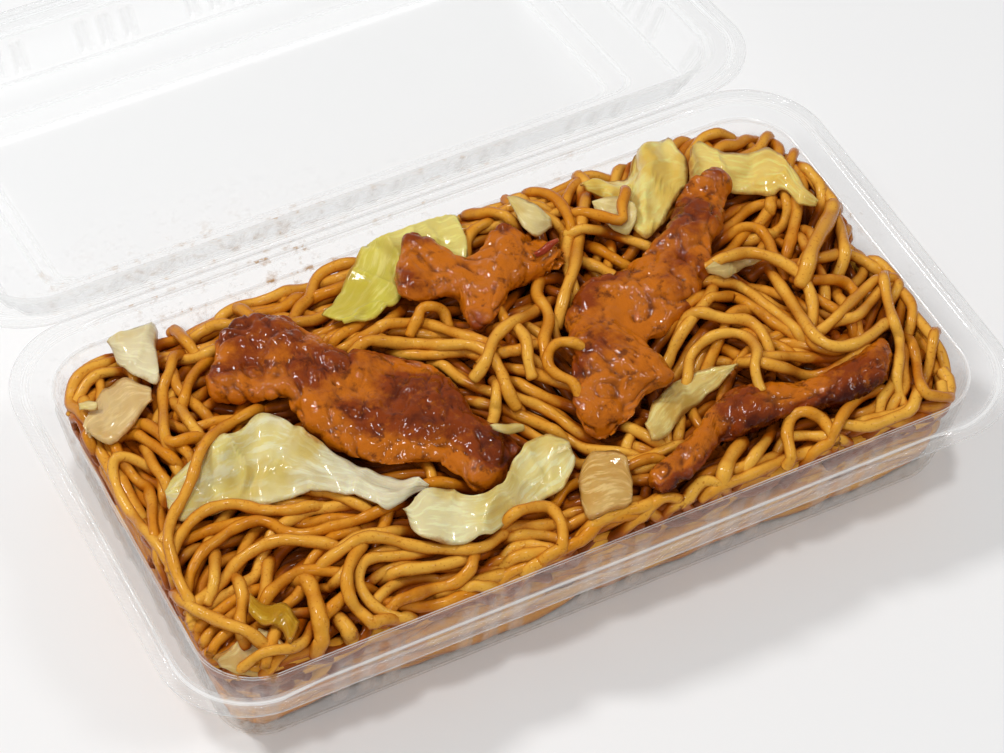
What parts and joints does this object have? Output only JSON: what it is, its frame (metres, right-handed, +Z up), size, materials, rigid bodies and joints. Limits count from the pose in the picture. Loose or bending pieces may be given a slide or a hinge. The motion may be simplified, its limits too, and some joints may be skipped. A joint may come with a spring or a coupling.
{
  "type": "noodle takeaway box",
  "caption": "Clear hinged plastic food pack, open, filled with fried noodles, glazed chicken and cabbage.",
  "frame": {"origin": "centre of the tray's footprint, on the surface it stands on", "axes": "+X along the long side, +Y from the front towards the hinge and the open lid, +Z up"},
  "size_m": [0.2, 0.2299, 0.0433],
  "materials": {
    "tray": "clear gloss, sauce smears",
    "lid": "clear gloss, sauce smears",
    "noodles": "oily fried noodles with dark sauce between them",
    "chicken": "sticky brown glaze, darker where charred",
    "cabbage": "wilted leaf, yellow-green to white",
    "onion": "soft fried slice with a brown skin",
    "ginger": "wet red shred"
  },
  "bodies": {
    "base": {"tray": "tray", "noodles": "noodles", "chicken_left": "chicken", "chicken_right": "chicken", "chicken_back": "chicken", "chicken_strip": "chicken", "cabbage_left": "cabbage", "cabbage_bright": "cabbage", "cabbage_centre": "cabbage", "cabbage_back_left": "cabbage", "cabbage_wall": "cabbage", "cabbage_top": "cabbage", "cabbage_corner": "cabbage", "cabbage_tan": "cabbage", "cabbage_olive": "cabbage", "cabbage_stem": "cabbage", "cabbage_small": "cabbage", "onion_slice": "onion", "ginger_shred": "ginger"},
    "lid": {"lid": "lid"}
  },
  "joints": [
    {"name": "lid_hinge", "type": "hinge", "parent": "base", "child": "lid", "pos_m": [0, 0.05785, 0.0282], "axis": [1, 0, 0], "range_deg": [0, 188.3]}
  ]
}
